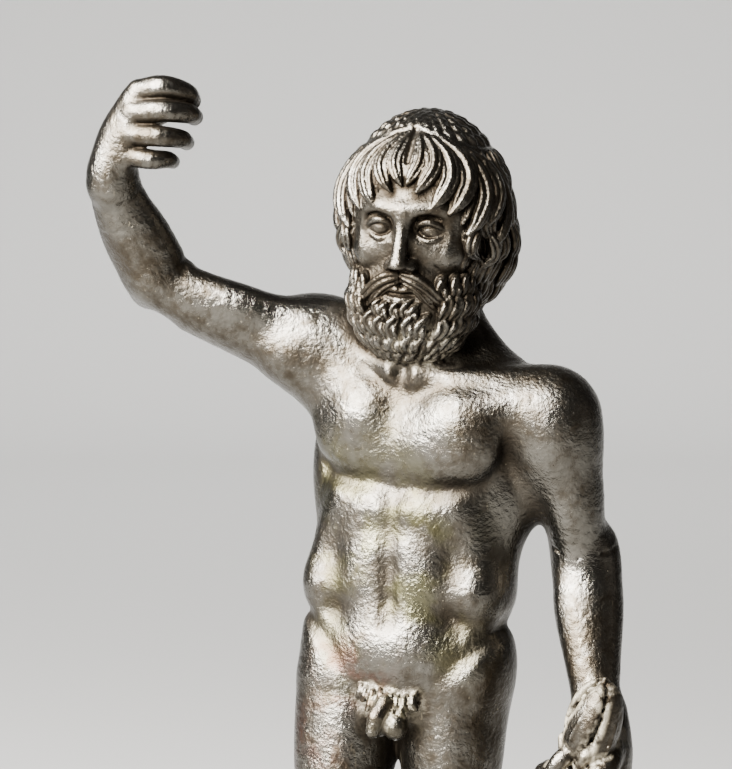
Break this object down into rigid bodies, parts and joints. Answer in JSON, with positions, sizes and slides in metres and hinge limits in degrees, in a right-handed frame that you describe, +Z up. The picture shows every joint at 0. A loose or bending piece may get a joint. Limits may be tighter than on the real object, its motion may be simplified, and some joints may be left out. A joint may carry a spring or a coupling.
{
  "type": "bronze statuette",
  "caption": "Small bronze statue of a standing bearded god with one arm raised and a thunderbolt in the lowered fist, on a low round base.",
  "frame": {"origin": "centre of the base's underside", "axes": "+Z up; the statue faces -Y, its chest and head turned to its right and left of that; +X is the viewer's right"},
  "size_m": [0.1082, 0.07, 0.251],
  "materials": {
    "bronze": "dark aged bronze, half polished, with a fine hammered and pitted skin and pale deposits in the hollows",
    "bronze_base": "dark aged bronze, turned and worn smooth"
  },
  "bodies": {
    "root": {"figure": "bronze", "base": "bronze_base"}
  },
  "joints": []
}
